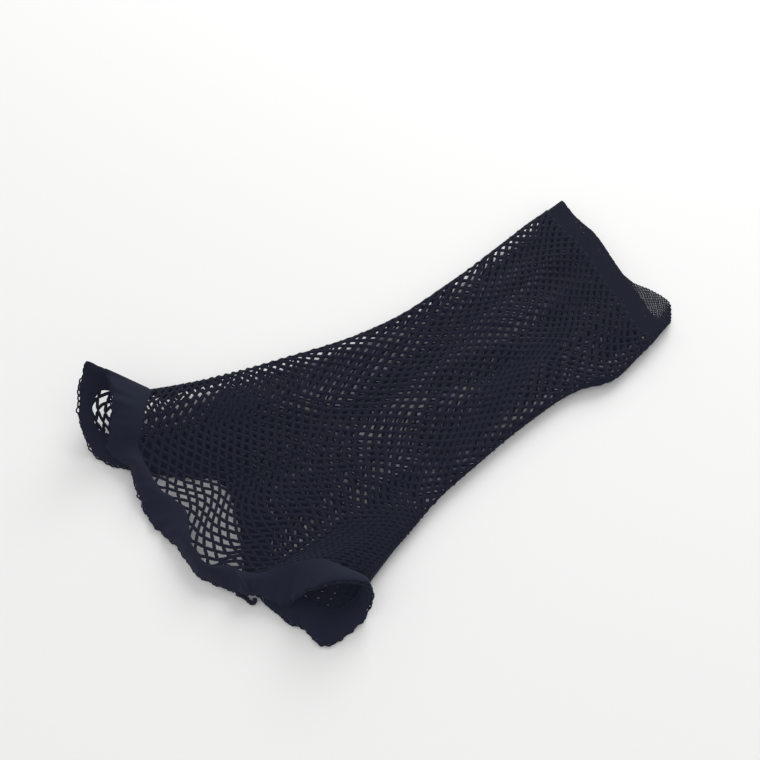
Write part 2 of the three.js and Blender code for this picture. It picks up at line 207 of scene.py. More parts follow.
# Waves of its free edge: height in millimetres, count and drift of each, and the drift's count
SCALLOPS = [(0.3, 59, 1.5), (0.2, 97, 0.0)]
SCALLOP_DRIFT_COUNT = 7
SCALLOP_BACK = 0.3

# How the cloth settles off its plain shape. Waves: height in millimetres, radians over the net's
# length, count round and start. The sag is SAG_DEPTH times SAG_MEAN and the sag's waves.
DRIFT_ACROSS = [(1.1, 2.6 * math.pi, 2, 0.0), (0.8, 7.1, 5, 0.0)]
DRIFT_ALONG = [(1.3, 4.0, 3, 0.0), (0.9, -9.0, 7, 1.0)]
SAG_WAVES = [(0.18, 9.0, 4, 0.0), (0.10, 21.0, -9, 0.0)]
SAG_MEAN = 0.72
SAG_DEPTH = 3.9
UNDERSIDE_LIFT = 0.3
SETTLE_RISE = 3.0       # how steeply it sets in from either end of the net

STRAND_FLAT = 0.62      # thickness of a strand over its width
KNOT_FULLER = 0.2       # how much wider a strand is at a knot
KNOT_HOLD = 1.03        # clips the swing of a cord, so that it stays a little at each knot
KNOT_LOOSE = 0.12       # how far a knot is off its place, over the strand's width
NET_PINCH = 0.2         # gap between the middles of two cords at a knot, in millimetres
END_PINCH = 0.1
MIDDLE_SHARE = 0.27     # of the round: the line of the upper layer that the rows are spaced along
FINE = 2001             # places at which a length is measured
NET_SEED, END_SEED, LOOP_SEED = 11, 23, 5

PAINTED_YARN_GLOW = (0.0056, 0.0065, 0.0115)     # painted light: an even glow of the yarn that lifts the dark gaps between the strands

# The camera: how far from the middle of the cap, how far round and how high
VIEW_DISTANCE = 368.6
VIEW_AZIMUTH = -35.37
VIEW_ELEVATION = 55.0
VIEW_ANGLE = 48.0
VIEW_TARGET = (-9.69, 10.82, 0.0)

# The stage, in metres: the table, the lamp's size, distance and direction, and the room's light
TABLE_HALF = 3.0
LAMP_SIZE = 1.1
LAMP_DISTANCE = 1.8
LAMP_WAY = (0.70, 0.46, 0.55)
ROOM_LIGHT = 0.68


def unit(v):
    """Each vector over its own length."""
    return v / np.maximum(np.linalg.norm(v, axis=-1, keepdims=True), 1e-9)


def read_table(rows, at, closed):
    """A smooth curve through the rows: between two rows a cubic whose end slopes are those of the
    chords over the rows on either side. A closed table goes round once from 0 to 1."""
    rows = np.array(rows)
    keys, values = rows[:, 0], rows[:, 1:]
    at = np.asarray(at, float)
    if closed:
        keys = np.concatenate([keys[-2:] - 1, keys, keys[:3] + 1])
        values = np.concatenate([values[-2:], values, values[:3]])
        at = np.mod(at, 1.0)
    else:
        at = np.clip(at, keys[0], keys[-1])
    last = len(keys) - 1
    i = np.clip(np.searchsorted(keys, at, side="right") - 1, 0, last - 1)
    before, after = np.maximum(i - 1, 0), np.minimum(i + 2, last)
    span = keys[i + 1] - keys[i]
    t = ((at - keys[i]) / span)[..., None]
    start, end = values[i], values[i + 1]
    rise = end - start
    slope_in = (end - values[before]) * (span / (keys[i + 1] - keys[before]))[..., None]
    slope_out = (values[after] - start) * (span / (keys[after] - keys[i]))[..., None]
    return (start + slope_in * t + (3 * rise - 2 * slope_in - slope_out) * t ** 2
            + (slope_in + slope_out - 2 * rise) * t ** 3)


def mouth_edges(u):
    """The seam and the free edge of the mouth band, read from RUFFLES."""
    scale = np.array([CAP_LENGTH, MOUTH_WIDTH, LOOP_HEIGHT])
    row = read_table(RUFFLES, u, True)
    seam, free = row[..., :3] * scale, row[..., 3:] * scale
    seam[..., 2] = np.maximum(seam[..., 2], 0)
    free[..., 2] = np.maximum(free[..., 2], 0)
    return seam, free


def laid_section(u, x):
    """The flattened tube at x: two straight layers joined by half circles, measured by length."""
    half, middle = np.moveaxis(read_table(SECTIONS, x / CAP_LENGTH, False), -1, 0) * WAIST_WIDTH
    r = LAID_HEIGHT / 2
    flat, fold = 2 * (half - r), math.pi * r
    whole = 2 * (flat + fold)
    d = np.mod(np.mod(u, 1.0) * whole + fold / 2, whole)
    left, right = d / r, (d - fold - flat) / r
    on = [d < fold, d < fold + flat, d < 2 * fold + flat]
    y = np.select(on, [flat / 2 + r * np.sin(left), flat / 2 - (d - fold),
                       -flat / 2 - r * np.sin(right)], -flat / 2 + d - 2 * fold - flat)
    z = np.select(on, [r - r * np.cos(left), 2 * r + 0 * d, r + r * np.cos(right)], 0.0)
    return np.stack(np.broadcast_arrays(x, y + middle, z), -1)


def skin(u, q):
    """The outer face. Over the mouth band it runs straight from seam to free edge and bows up by
    the length lost. Over the first part of the net it is a curve of three points, seam, section
    half way and plain section. Then it follows the plain sections to the small end."""
    u, q = np.broadcast_arrays(np.asarray(u, float), np.asarray(q, float))
    seam, free = mouth_edges(u)
    t = (-q / MOUTH_BAND)[..., None]
    lost = np.maximum(MOUTH_BAND - np.linalg.norm(seam - free, axis=-1), 0)
    band = seam + (free - seam) * t
    band[..., 2] += BOW_SHARE * lost * np.maximum(4 * t * (1 - t), 0)[..., 0]
    plain_start = PLAIN_AT_SHARE * CAP_LENGTH
    t = (q / (PLAIN_NET_SHARE * NET_LENGTH))[..., None]
    pull = laid_section(u, (seam[..., 0] + plain_start) / 2)
    plain = laid_section(u, np.full_like(u, plain_start))
    loft = seam * (1 - t) ** 2 + pull * 2 * t * (1 - t) + plain * t ** 2
    end_seam = read_table(END_EDGE, u, True)[..., 0] * CAP_LENGTH - END_BAND
    t = np.clip((q / NET_LENGTH - PLAIN_NET_SHARE) / (1 - PLAIN_NET_SHARE), 0, 1)
    x = plain_start + (end_seam - plain_start) * t + np.maximum(q - NET_LENGTH, 0)
    tube = laid_section(u, x)
    q = q[..., None]
    return np.where(q < 0, band, np.where(q < PLAIN_NET_SHARE * NET_LENGTH, loft, tube))


def skin_slopes(u, q):
    """Length per unit of u, the direction along q, and the outward normal, from differences."""
    du = SLOPE_STEP / (2 * MOUTH_WIDTH)
    low = np.maximum(q - SLOPE_STEP, -MOUTH_BAND)
    high = np.minimum(q + SLOPE_STEP, NET_LENGTH + END_BAND)
    around = skin(u + du, q) - skin(u - du, q)
    along = skin(u, high) - skin(u, low)
    return np.linalg.norm(around, axis=-1) / (2 * du), unit(along), unit(np.cross(around, along))


def frame_shift():
    """The frame's origin is under the middle of the whole cap, so the middle of the skin's extents
    goes there."""
    u, q = np.meshgrid(np.linspace(0, 1, 721), [-MOUTH_BAND, 0.0, NET_LENGTH + END_BAND])
    points = skin(u, q).reshape(-1, 3)
    middle = (points.min(0) + points.max(0)) / 2
    return np.array([-middle[0], -middle[1], 0.0])


SHIFT = frame_shift()


def wave_sum(rows, share, turn):
    """The sum of height * sin(run * share + count * turn + start) over the rows."""
    return sum(height * np.sin(run * share + count * turn + start) for height, run, count, start in rows)


def settle(u, q):
    """How the cloth lies off its plain shape, in millimetres, as waves over u and q. Along the
    layers it drifts sideways and lengthwise. The upper layer sags between the folds and the bands,
    and the lower one lifts a little off the table."""
    share = q / NET_LENGTH
    turn = 2 * math.pi * u
    inside = np.clip(np.sin(math.pi * np.clip(share, 0, 1)) * SETTLE_RISE, 0, 1)
    upper = np.clip(np.sin(turn), 0, 1) ** 0.5
    lower = np.clip(-np.sin(turn), 0, 1)
    waves = SAG_MEAN + wave_sum(SAG_WAVES, share, turn)
    sag = (SAG_DEPTH * upper - UNDERSIDE_LIFT * lower) * waves * inside
    return wave_sum(DRIFT_ACROSS, share, turn) * inside, wave_sum(DRIFT_ALONG, share, turn) * inside, sag


def near(u, middle, half):
    """1 about a place round the cap, falling smoothly to 0 at half round from it."""
    away = np.abs(np.mod(u - middle + 0.5, 1.0) - 0.5) / half
    t = np.clip(2 * (1 - away), 0, 1)
    return t * t * (3 - 2 * t)


def seam_drawn(u):
    """q of the seam between the mouth band and the net, drawn up in one place."""
    middle, half, reach = SEAM_DRAWN
    return -reach * near(u, middle, half)


def fold_drawn(u, q):
    """How far a fold is drawn in across the cap, in millimetres: a bell over q with two widths."""
    middle, half, at, near_run, far_run, depth = FOLD_DRAWN
    past = q - at
    return depth * near(u, middle, half) * np.exp(-(past / np.where(past > 0, far_run, near_run)) ** 2)


def net_fill(u, q):
    """Width of the strands at u and q: the layer's table, times every patch that is near."""
    share = q / NET_LENGTH
    upper = np.mod(u, 1.0) < 0.5
    fill = np.where(upper, np.interp(share, *np.array(UPPER_FILL).T),
                    np.interp(share, *np.array(LOWER_FILL).T))
    for middle, half, reach, factor in FILL_PATCHES:
        fade = np.clip(2 * (1 - q / reach), 0, 1)
        fill = fill * (1 + (factor - 1) * near(u, middle, half) * fade)
    return fill


def end_fill(u, q):
    """Width of the fine strands: close ribs, thinner at the tab, and closed at the rim."""
    tab = near(u, *END_TAB)
    rim = np.clip((q - NET_LENGTH - END_BAND + RIM_FROM) / RIM_WITHIN, 0, 1) * (1 - 0.5 * tab)
    fill = END_FILL + (END_TAB_FILL - END_FILL) * tab
    return fill + (END_RIM_FILL - fill) * rim


def end_swing(u):
    """How far the fine strands swing to their neighbours: hardly as ribs, fully as a net."""
    return END_SWING + (END_TAB_SWING - END_SWING) * near(u, *END_TAB)


def run_length(line):
    """Length along a line of points, from its first point to each."""
    return np.concatenate([[0], np.cumsum(np.linalg.norm(np.diff(line, axis=0), axis=1))])


def even_round(v, q):
    """Place around for a share v of the stitches. At the mouth seam the stitches are spaced by true
    length within each layer, and by the plain section where the tube has become plain."""
    u = np.linspace(0, 1, FINE)
    true = run_length(skin(u, np.zeros_like(u)))
    half = true[len(u) // 2]
    share = np.where(u <= 0.5, true / half, 1 + (true - half) / (true[-1] - half)) / 2
    spaced = np.interp(np.mod(v, 1.0), share, u) + np.floor(v)
    t = np.clip(q / (PLAIN_NET_SHARE * NET_LENGTH), 0, 1)
    return v + (spaced - v) * (1 - t * t * (3 - 2 * t))


def rings(centre, up, radius, sides, flat=1.0):
    """Tubes along centre lines: ring point = centre + radius * (cos a * side + sin a * over), where
    side is up crossed with the way along and over is the way along crossed with side, which is
    shorter by flat."""
    ahead = unit(np.gradient(centre, axis=1))
    side = unit(np.cross(up, ahead))
    over = np.cross(ahead, side)
    a = np.linspace(0, 2 * math.pi, sides, endpoint=False)[:, None]
    ring = np.cos(a) * side[..., None, :] + flat * np.sin(a) * over[..., None, :]
    return centre[..., None, :] + np.asarray(radius)[..., None, None] * ring


def tube_mesh(points, length_step):
    """Points (tube, step, side) to quads, with the ends closed, and UVs in millimetres along and
    turns around."""
    count, steps, sides, _ = points.shape
    i = np.arange(count * steps * sides).reshape(count, steps, sides)
    nxt = np.roll(i, -1, axis=2)
    walls = np.stack([i[:, :-1], nxt[:, :-1], nxt[:, 1:], i[:, 1:]], -1).reshape(-1, 4)
    caps = []
    for k in range(sides // 2 - 1):
        pick = [0, 2 * k + 1, 2 * k + 2, 2 * k + 3]
        caps += [i[:, -1][:, pick], i[:, 0][:, pick[::-1]]]
    faces = np.concatenate([walls, *caps])
    along = np.arange(steps) * length_step
    s, k = np.meshgrid(along[:-1], np.arange(sides), indexing="ij")
    corner = np.stack([np.stack([s, k / sides], -1), np.stack([s, (k + 1) / sides], -1),
                       np.stack([s + length_step, (k + 1) / sides], -1),
                       np.stack([s + length_step, k / sides], -1)], 2)
    uv = np.broadcast_to(corner, (count, *corner.shape)).reshape(-1, 2)
    uv = np.concatenate([uv, np.zeros((len(faces) * 4 - len(uv), 2))])
    return points.reshape(-1, 3), faces, uv


def net_cords(columns, first, count, rows, strand, fill, swing, sides, steps, wall, pinch, seed):
    """Zigzag cords of a knitted net. Cord j swings between its two neighbours, so that it meets one
    at each even row and the other at each odd row: u = (j + 0.5 + 0.5 * w * spread) / columns, with
    w a clipped triangle wave of the row number. rows holds q at each row. Each knot is a little off
    its place by the same amount for both of its cords. A knot is fuller than a strand, and two cords
    stay apart there by pinch."""
    last = len(rows) - 1
    h = np.arange(last * steps + 1) / steps
    j = np.arange(first, first + count)[:, None]
    low = np.minimum(h.astype(int), last - 1)
    part = h - low
    q = rows[low] * (1 - part) + rows[low + 1] * part
    q = np.broadcast_to(q, (count, len(h)))
    w = np.clip(KNOT_HOLD * (2 * np.abs(np.mod(h + j, 2) - 1) - 1), -1, 1)
    off = np.random.default_rng(seed).normal(0, 1, (last + 1, columns, 2))
    row = np.arange(last + 1)[None]
    knot = off[row, np.mod(j + (np.mod(row + j, 2) == 0), columns)]
    off = knot[:, low] * (1 - part)[:, None] + knot[:, low + 1] * part[:, None]
    middle = even_round((j + 0.5) / columns + 0 * q, q)
    around, along, sag = settle(middle, q)
    per_turn, _, _ = skin_slopes(middle, q)
    edge = even_round((j + 0.5 + 0.5 * np.sign(w)) / columns + 0 * q, q)
    spread = np.clip(1 - pinch / (2 * np.abs(edge - middle) * per_turn), 0.1, 1)
    loose = strand * KNOT_LOOSE
    w = np.abs(w) * swing(middle)
    u = middle + (edge - middle) * w * spread + (around + loose * off[..., 0]) / per_turn
    q = q + along + loose * off[..., 1]
    _, _, normal = skin_slopes(u, q)
    centre = skin(u, q) - normal * (wall / 2)
    centre[..., 1] += fold_drawn(u, q)
    centre[..., 2] -= sag
    fuller = 1 + KNOT_FULLER * np.clip(w * 3 - 2, 0, 1)
    radius = strand / 2 * fuller * fill(u, q)
    centre[..., 2] = np.maximum(centre[..., 2], radius * STRAND_FLAT)
    points = rings(centre, normal, radius, sides, STRAND_FLAT)
    points[..., 2] = np.maximum(points[..., 2], 0)
    return tube_mesh(points + SHIFT, float(np.mean(np.diff(rows))) / steps)


def net_rows():
    """q at each row of knots. Half a diamond apart in true length along the middle of the upper
    layer, DIAMOND_LENGTH scaled to fill it, and run on a little under the band at both ends."""
    fine = np.linspace(0, NET_LENGTH, FINE)
    true = run_length(skin(np.full_like(fine, MIDDLE_SHARE), fine))
    share, diamond = np.array(DIAMOND_LENGTH).T
    pitch = np.interp(true / true[-1], share, diamond) / 2
    count = np.concatenate([[0], np.cumsum(np.diff(true) / pitch[1:])])
    half_rows = round(count[-1])
    rows = np.interp(np.arange(half_rows + 1), count * half_rows / count[-1], fine)
    return np.concatenate([[-1.0], rows[1:-1], [NET_LENGTH + 1.0]])


def free_edge(u):
    """How far the mouth's free edge comes out, in millimetres: drifting sines, and one point."""
    turn = 2 * math.pi * u
    drift = np.sin(SCALLOP_DRIFT_COUNT * turn)
    middle, half, reach = CORNER_POINT
    point = reach * np.maximum(1 - np.abs(u - middle) / half, 0) ** 1.5
    scallops = sum(height * np.sin(count * turn + lean * drift) for height, count, lean in SCALLOPS)
    return scallops - SCALLOP_BACK + point


def band_wall(rings_around, q_seam, q_free, wall, steps, rim_steps, shape):
    """A closed wall of cloth. Its section runs out along the outer face, round the rim in a half
    circle, back along the inner face and round the other rim. shape(u, q) gives the offset of the
    cloth along its normal and the extra length at the free edge."""
    way = 1 if q_free > q_seam else -1
    span = abs(q_free - q_seam) - wall
    t = np.linspace(0, span, steps)
    turn = np.linspace(0, math.pi, rim_steps + 2)[1:-1]
    r = wall / 2
    reach = np.concatenate([t, span + r * np.sin(turn), t[::-1], -r * np.sin(turn)]) + r
    rise = np.concatenate([np.full(steps, r), r * np.cos(turn), np.full(steps, -r), -r * np.cos(turn)])
    if way < 0:
        rise = -rise
    u = (np.arange(rings_around) / rings_around)[:, None]
    share = reach / (span + wall)
    offset, extra = shape(u, share)
    q = q_seam + way * (reach + extra) + seam_drawn(u) * (1 - share)
    u = u + 0 * q
    _, _, normal = skin_slopes(u, q)
    points = skin(u, q) + normal * (rise - wall / 2 + offset)[..., None]
    points[..., 2] = np.maximum(points[..., 2], 0)
    count, sides = points.shape[:2]
    i = np.arange(count * sides).reshape(count, sides)
    right, out = np.roll(i, -1, axis=0), np.roll(i, -1, axis=1)
    both = np.roll(right, -1, axis=1)
    faces = np.stack([i, right, both, out], -1).reshape(-1, 4)
    start = run_length(np.vstack([points[:, 0], points[:1, 0]]))
    s0, s1 = start[:-1, None] + 0 * q, start[1:, None] + 0 * q
    v0 = np.broadcast_to(reach, q.shape)
    v1 = np.roll(v0, -1, axis=1)
    uv = np.stack([np.stack([s0, v0], -1), np.stack([s1, v0], -1), np.stack([s1, v1], -1),
                   np.stack([s0, v1], -1)], 2).reshape(-1, 2)
    return points.reshape(-1, 3) + SHIFT, faces, uv


def outward(points, faces):
    """The faces, turned over if the volume that they close comes out negative."""
    a, b, c, d = (points[faces[:, k]] for k in range(4))
    volume = np.einsum("ij,ij->", np.cross(b - a, c - a) + np.cross(c - a, d - a), a)
    return faces if volume > 0 else faces[:, ::-1]


def make_piece(name, points, faces, uv, material, nodes, slot):
    """A smooth-shaded mesh object at the origin, on the cap's body, that stands for CAD nodes."""
    turned = outward(points, faces)
    if turned is not faces:
        uv = uv.reshape(-1, 4, 2)[:, ::-1].reshape(-1, 2)
    mesh = bpy.data.meshes.new(name)
    mesh.from_pydata((points * MM).tolist(), [], turned.tolist())
    mesh.uv_layers.new(name="yarn").data.foreach_set("uv", np.ascontiguousarray(uv, np.float32).ravel())
    mesh.polygons.foreach_set("use_smooth", np.ones(len(turned), bool))
    mesh.materials.append(material)
    mesh.update()
    obj = bpy.data.objects.new(name, mesh)
    bpy.context.scene.collection.objects.link(obj)
    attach(obj, BODY)
    if nodes:
        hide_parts(*nodes)
    return obj


class Value:
    """A socket of a material's nodes. Arithmetic on it adds Math nodes."""

    def __init__(self, tree, socket):
        self.tree, self.socket = tree, socket

    def node(self, kind, settings=None, inputs=None, output=0):
        """Adds a node, sets its settings, then links or sets its sockets."""
        node = self.tree.nodes.new(kind)
        for key, value in (settings or {}).items():
            setattr(node, key, value)
        for key, value in (inputs or {}).items():
            if isinstance(value, Value):
                self.tree.links.new(value.socket, node.inputs[key])
            else:
                node.inputs[key].default_value = value
        return Value(self.tree, node.outputs[output])

    def math(self, operation, *values):
        return self.node("ShaderNodeMath", {"operation": operation}, dict(enumerate(values)))

    def __add__(self, other):
        return self.math("ADD", self, other)

    def __radd__(self, other):
        return self.math("ADD", other, self)

    def __sub__(self, other):
        return self.math("SUBTRACT", self, other)

    def __rsub__(self, other):
        return self.math("SUBTRACT", other, self)

    def __mul__(self, other):
        return self.math("MULTIPLY", self, other)

    def __rmul__(self, other):
        return self.math("MULTIPLY", other, self)

    def sine(self):
        return self.math("SINE", self)

    def noise(self, scale, detail, place):
        return self.node("ShaderNodeTexNoise", {}, {"Vector": place, "Scale": scale, "Detail": detail})


def start_material(name):
    """An empty node material with its surface shader, and the places it can read."""
    material = bpy.data.materials.new(name)
    material.use_nodes = True
    tree = material.node_tree
    shader = tree.nodes["Principled BSDF"]
    reader = Value(tree, None)
    place = reader.node("ShaderNodeTexCoord", output="Object")
    flat = reader.node("ShaderNodeUVMap", {"uv_map": "yarn"})
    return material, tree, shader, reader, place, flat


def split(reader, flat):
    """The two numbers of a UV place."""
    return (reader.node("ShaderNodeSeparateXYZ", {}, {"Vector": flat}, output=0),
            reader.node("ShaderNodeSeparateXYZ", {}, {"Vector": flat}, output=1))


def yarn_finish(name, dark, light, rough, sheen, relief, depth_mm):
    """Matt textured yarn. The tint drifts between two near-black blues with a coarse and a fine
    noise, and follows the relief, so its grooves are darker as painted shade; the roughness follows
    the fine noise, and relief(reader, u, v) gives the height that the bump reads, 0 to 1."""
    material, tree, shader, reader, place, flat = start_material(name)
    u, v = split(reader, flat)
    coarse = reader.noise(55.0, 2.0, place)
    fine = reader.noise(900.0, 3.0, place)
    height = relief(reader, u, v) + fine * 0.35
    # Painted shade: the tint rises with the relief's height, darkening its grooves; the coarse noise adds
    # random tone.
    tone_and_groove_shade = coarse * 0.6 + height * 0.35
    tint = reader.node("ShaderNodeMix", {"data_type": "RGBA"},
                       {"Factor": tone_and_groove_shade, 6: (*dark, 1), 7: (*light, 1)}, output=2)
    tree.links.new(tint.socket, shader.inputs["Base Color"])
    tree.links.new((fine * 0.12 + (rough - 0.06)).socket, shader.inputs["Roughness"])
    bump = reader.node("ShaderNodeBump", {}, {"Strength": 0.9, "Distance": depth_mm * MM, "Height": height})
    tree.links.new(bump.socket, shader.inputs["Normal"])
    shader.inputs["Sheen Weight"].default_value = sheen
    shader.inputs["Sheen Roughness"].default_value = 0.45
    shader.inputs["Sheen Tint"].default_value = (0.75, 0.82, 1.0, 1)
    shader.inputs["Specular IOR Level"].default_value = 0.08
    # Painted light: the yarn glows faintly and evenly, lifting the dark gaps between the strands.
    shader.inputs["Emission Color"].default_value = (*PAINTED_YARN_GLOW, 1)
    shader.inputs["Emission Strength"].default_value = 1.0
    return material


def cord_relief(reader, u, v):
    """Twisted filaments round a cord: a sine of the turns around plus the length along."""
    return ((v * (5 * 2 * math.pi)) + u * 4.2).sine() * 0.3 + 0.4


def knit_relief(reader, u, v):
    """Close knitting: ribs along the edge, and slanted stitches that turn over at each rib."""
    rib = (v * (2 * math.pi / 1.1)).sine()
    stitch = (u * (2 * math.pi / 0.8) + rib * 1.4).sine()
    return rib * 0.3 + stitch * 0.2 + 0.5


class CapSizes(bpy.types.PropertyGroup):
    diamonds_around: bpy.props.IntProperty(
        name="Diamonds around", description="Meshes of the net in one round", default=42, min=20, max=60)
    strand: bpy.props.FloatProperty(
        name="Strand", description="Thickness of a strand of the net", default=1.15 * MM,
        min=0.4 * MM, max=2 * MM, precision=5, unit="LENGTH")
    fine_strand: bpy.props.FloatProperty(
        name="Fine strand", description="Thickness of a strand of the end band", default=0.56 * MM,
        min=0.2 * MM, max=1 * MM, precision=5, unit="LENGTH")
    fine_diamonds: bpy.props.IntProperty(
        name="End band diamonds", description="Meshes of the end band in one round", default=114,
        min=40, max=160)
    fine_rows: bpy.props.IntProperty(
        name="End band rows", description="Rows of knots across the end band", default=17, min=6, max=30)
    picots: bpy.props.IntProperty(
        name="Edge loops", description="Small yarn loops along the mouth's free edge", default=166,
        min=40, max=300)
    ruffle: bpy.props.FloatProperty(
        name="Ruffle", description="Height of the small waves of the mouth's free edge",
        default=0.38 * MM, min=0, max=2 * MM, precision=5, unit="LENGTH")


class CapFinish(bpy.types.PropertyGroup):
    yarn: bpy.props.FloatVectorProperty(
        name="Yarn", description="Darkest tint of the yarn", subtype="COLOR", size=3,
        default=(0.0056, 0.0066, 0.0132), min=0, max=1)
    yarn_light: bpy.props.FloatVectorProperty(
        name="Yarn, lit", description="Lightest tint of the yarn", subtype="COLOR", size=3,
        default=(0.0105, 0.0122, 0.0225), min=0, max=1)
    roughness: bpy.props.FloatProperty(
        name="Roughness", description="Roughness of the yarn", default=0.82, min=0, max=1, subtype="FACTOR")
    floor: bpy.props.FloatVectorProperty(
        name="Floor", description="Colour of the table", subtype="COLOR", size=3,
        default=(0.92, 0.92, 0.915), min=0, max=1)
    light: bpy.props.FloatProperty(
        name="Light", description="Strength of the main light", default=20.6, min=0, unit="POWER")


class WIGCAP_OT_stage(bpy.types.Operator):
    """Sets up the table, the soft light and the camera"""
    bl_idname = "wigcap.stage"
    bl_label = "Table, light and camera"

    def execute(self, context):
        finish = context.scene.cap_finish
        a, e = math.radians(VIEW_AZIMUTH), math.radians(VIEW_ELEVATION)
        back = Vector((math.sin(a) * math.cos(e), -math.cos(a) * math.cos(e), math.sin(e)))
        target = Vector(VIEW_TARGET) * MM
        camera = bpy.data.objects.new("camera", bpy.data.cameras.new("camera"))
        camera.data.angle = math.radians(VIEW_ANGLE)
        camera.data.clip_start, camera.data.clip_end = 0.01, 20
        camera.location = target + back * VIEW_DISTANCE * MM
        camera.rotation_euler = (-back).to_track_quat("-Z", "Y").to_euler()
        context.scene.collection.objects.link(camera)
        context.scene.camera = camera

        mesh = bpy.data.meshes.new("table")
        corners = [(x * TABLE_HALF, y * TABLE_HALF, 0) for x, y in ((-1, -1), (1, -1), (1, 1), (-1, 1))]
        mesh.from_pydata(corners, [], [(0, 1, 2, 3)])
        material = bpy.data.materials.new("table")
        material.use_nodes = True
        shader = material.node_tree.nodes["Principled BSDF"]
        shader.inputs["Base Color"].default_value = (*finish.floor, 1)
        shader.inputs["Roughness"].default_value = 0.75
        mesh.materials.append(material)
        table = bpy.data.objects.new("table", mesh)
        context.scene.collection.objects.link(table)

        world = bpy.data.worlds.new("soft_room")
        world.use_nodes = True
        background = world.node_tree.nodes["Background"]
        background.inputs["Color"].default_value = (1.0, 1.0, 1.0, 1)
        background.inputs["Strength"].default_value = ROOM_LIGHT
        context.scene.world = world
        context.scene.view_settings.view_transform = "Standard"
        lamp = bpy.data.lights.new("window_light", "AREA")
        lamp.shape = "RECTANGLE"
        lamp.size = lamp.size_y = LAMP_SIZE
        lamp.energy = finish.light
        light = bpy.data.objects.new("window_light", lamp)
        way = Vector(LAMP_WAY).normalized()
        light.location = way * LAMP_DISTANCE
        light.rotation_euler = (-way).to_track_quat("-Z", "Y").to_euler()
        context.scene.collection.objects.link(light)
        return {"FINISHED"}


def cap_material(context, name, sheen, relief, depth_mm, painted_light_scale=1.0):
    """One yarn material of the cap, made once; the last argument scales both tints, painting shade below 1
    and light above 1.
    """
    if name in bpy.data.materials:
        return bpy.data.materials[name]
    finish = context.scene.cap_finish
    dark = [c * painted_light_scale for c in finish.yarn]
    light = [c * painted_light_scale for c in finish.yarn_light]
    return yarn_finish(name, dark, light, finish.roughness, sheen, relief, depth_mm)


class WIGCAP_OT_net(bpy.types.Operator):
    """Knits the two layers of the net"""
    bl_idname = "wigcap.net"
    bl_label = "Net"

    def execute(self, context):
        sizes = context.scene.cap_sizes
        # Painted shade: the net's tints are darkened, as its round strands take more light than the band.
        material = cap_material(context, "net_yarn_painted_shade", sheen=0.02, relief=cord_relief, depth_mm=0.08,
                                painted_light_scale=0.8)
        columns = 2 * sizes.diamonds_around
        rows = net_rows()
        under = np.concatenate([np.linspace(-NET_UNDER_BAND, 0, ROWS_UNDER_BAND + 1), rows[1:]])
        for name, first, knots in (("net_lower", columns // 2, under), ("net_upper", 0, rows)):
            made = net_cords(columns, first, columns // 2, knots, sizes.strand / MM, net_fill, np.ones_like,
                             sides=6, steps=4, wall=NET_WALL, pinch=NET_PINCH, seed=NET_SEED)
            piece = make_piece(name + "_cloth", *made, material, [name], "net_knit")
        return {"FINISHED"}


class WIGCAP_OT_mouth_band(bpy.types.Operator):
    """Knits the ruffled band at the mouth"""
    bl_idname = "wigcap.mouth_band"
    bl_label = "Mouth band"

    def execute(self, context):
        sizes = context.scene.cap_sizes
        # Painted light: the band's tints are lightened, as it faces away from the lamp.
        material = cap_material(context, "mouth_yarn_painted_light", sheen=0.04, relief=knit_relief, depth_mm=0.12,
                                painted_light_scale=1.25)
        ruffle = sizes.ruffle / MM

        def shape(u, share):
            """Waves that grow towards the free edge, and one tuck that drops off on its far side."""
            turn = 2 * math.pi * u
            drift = RUFFLE_DRIFT[0] * np.sin(RUFFLE_DRIFT[1] * turn)
            (first, count, start), (second, other, later) = RUFFLE_WAVES
            waves = (first * np.sin(count * turn + start + drift)
                     + second * np.sin(other * turn + later))
            crease, folds, lean = CREASES
            creases = crease * np.sin(folds * turn + lean * share)
            place, skew, height, near_run, far_run = TUCK
            past = (u - place - skew * share) * EDGE_LENGTH
            tuck = height * np.exp(-(past / np.where(past > 0, far_run, near_run)) ** 2) * np.sqrt(share)
            return ruffle * (waves * share ** 2 + creases * share) + tuck, free_edge(u) * share ** 3

        made = band_wall(rings_around=960, q_seam=-0.3, q_free=-MOUTH_BAND, wall=MOUTH_WALL, steps=26,
                         rim_steps=5, shape=shape)
        piece = make_piece("mouth_band_cloth", *made, material, ["mouth_band"], "mouth_knit")
        return {"FINISHED"}


